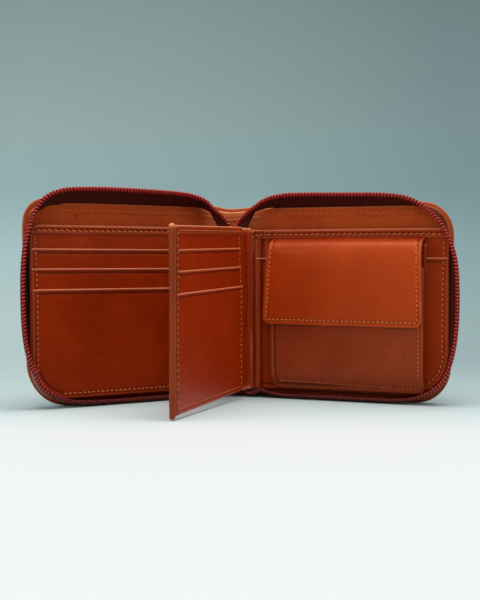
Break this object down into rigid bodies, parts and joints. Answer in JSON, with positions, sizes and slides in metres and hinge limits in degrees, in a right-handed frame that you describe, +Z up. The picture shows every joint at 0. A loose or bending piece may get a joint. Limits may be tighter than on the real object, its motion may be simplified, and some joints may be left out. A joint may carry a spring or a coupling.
{
  "type": "zip-around wallet",
  "caption": "Zip-around bifold leather wallet, standing open, with card slots, a swinging centre leaf and a flapped coin pocket.",
  "frame": {"origin": "foot of the spine: the middle of the spine's lower edge, on the surface the wallet stands on", "axes": "+Z up along the spine, -Y the way the wallet opens, +X towards the coin-pocket half"},
  "size_m": [0.2095, 0.1075, 0.105],
  "materials": {
    "cover_leather": "satin",
    "inner_leather": "satin",
    "lining": "matte",
    "board": "matte",
    "zip_tape": "matte",
    "zip_coil": "gloss",
    "metal": "satin",
    "thread": "satin"
  },
  "bodies": {
    "spine": {"spine_cover": "cover_leather", "spine_lining": "lining", "spine_panel": "inner_leather", "zip_tail_tape": "zip_tape", "zip_tail_coil_left": "zip_coil", "zip_tail_coil_right": "zip_coil", "zip_join_stop": "metal", "zip_end_stops": "metal"},
    "left_half": {"left_cover": "cover_leather", "left_board": "board", "left_lining": "lining", "left_zip_tape": "zip_tape", "left_zip_coil": "zip_coil", "left_note_panel": "inner_leather", "left_hem": "inner_leather", "left_slot_1": "inner_leather", "left_slot_2": "inner_leather", "left_slot_3": "inner_leather"},
    "right_half": {"right_cover": "cover_leather", "right_board": "board", "right_lining": "lining", "right_zip_tape": "zip_tape", "right_zip_coil": "zip_coil", "right_note_panel": "inner_leather", "right_hem": "inner_leather", "right_card_pocket": "inner_leather", "coin_back": "inner_leather", "coin_gusset": "inner_leather", "coin_front": "inner_leather", "snap_stud": "metal"},
    "flap": {"flap_outer": "inner_leather", "flap_lining": "inner_leather", "snap_socket": "metal"},
    "hinge_strip": {"leaf_gusset": "inner_leather"},
    "leaf_root": {"leaf_tab": "inner_leather"},
    "leaf": {"leaf_core": "inner_leather", "leaf_edge": "inner_leather", "leaf_hem": "inner_leather", "leaf_slot_1": "inner_leather", "leaf_slot_2": "inner_leather", "leaf_slot_3": "inner_leather", "leaf_rear_pocket": "inner_leather"},
    "slider": {"slider_body": "metal", "slider_bail": "metal"},
    "puller": {"pull_tab": "metal"}
  },
  "joints": [
    {"name": "left_fold", "type": "hinge", "parent": "spine", "child": "left_half", "pos_m": [-0.014, 0, 0.05], "axis": [0, 0, 1], "range_deg": [-35, 52]},
    {"name": "right_fold", "type": "hinge", "parent": "spine", "child": "right_half", "pos_m": [0.014, 0, 0.05], "axis": [0, 0, -1], "range_deg": [-25, 62]},
    {"name": "strip_shift", "type": "slide", "parent": "spine", "child": "hinge_strip", "axis": [-1, 0, 0], "range_m": [-0.0042, 0.0102]},
    {"name": "leaf_carry", "type": "hinge", "parent": "hinge_strip", "child": "leaf_root", "pos_m": [0.00503, -0.01534, 0.045], "axis": [0, 0, 1], "range_deg": [-36.2, 53.8]},
    {"name": "leaf_swing", "type": "hinge", "parent": "leaf_root", "child": "leaf", "pos_m": [0.00418, -0.0178, 0.045], "axis": [0, 0, -1], "range_deg": [-72, 34]},
    {"name": "flap_lift", "type": "hinge", "parent": "right_half", "child": "flap", "pos_m": [0.01105, -0.00632, 0.0811], "axis": [0.9063, -0.4226, 0], "range_deg": [-110, 0]},
    {"name": "zip_slide", "type": "slide", "parent": "spine", "child": "slider", "axis": [0, 0, 1], "range_m": [0, 0.006]},
    {"name": "pull_swing", "type": "hinge", "parent": "slider", "child": "puller", "pos_m": [0, -0.0055, 0.08], "axis": [1, 0, 0], "range_deg": [-3, 5]}
  ],
  "couplings": [
    {"joint": "strip_shift", "follows": "right_fold", "m_per_rad": 0.0092},
    {"joint": "leaf_carry", "follows": "left_fold", "ratio": 1.03}
  ]
}
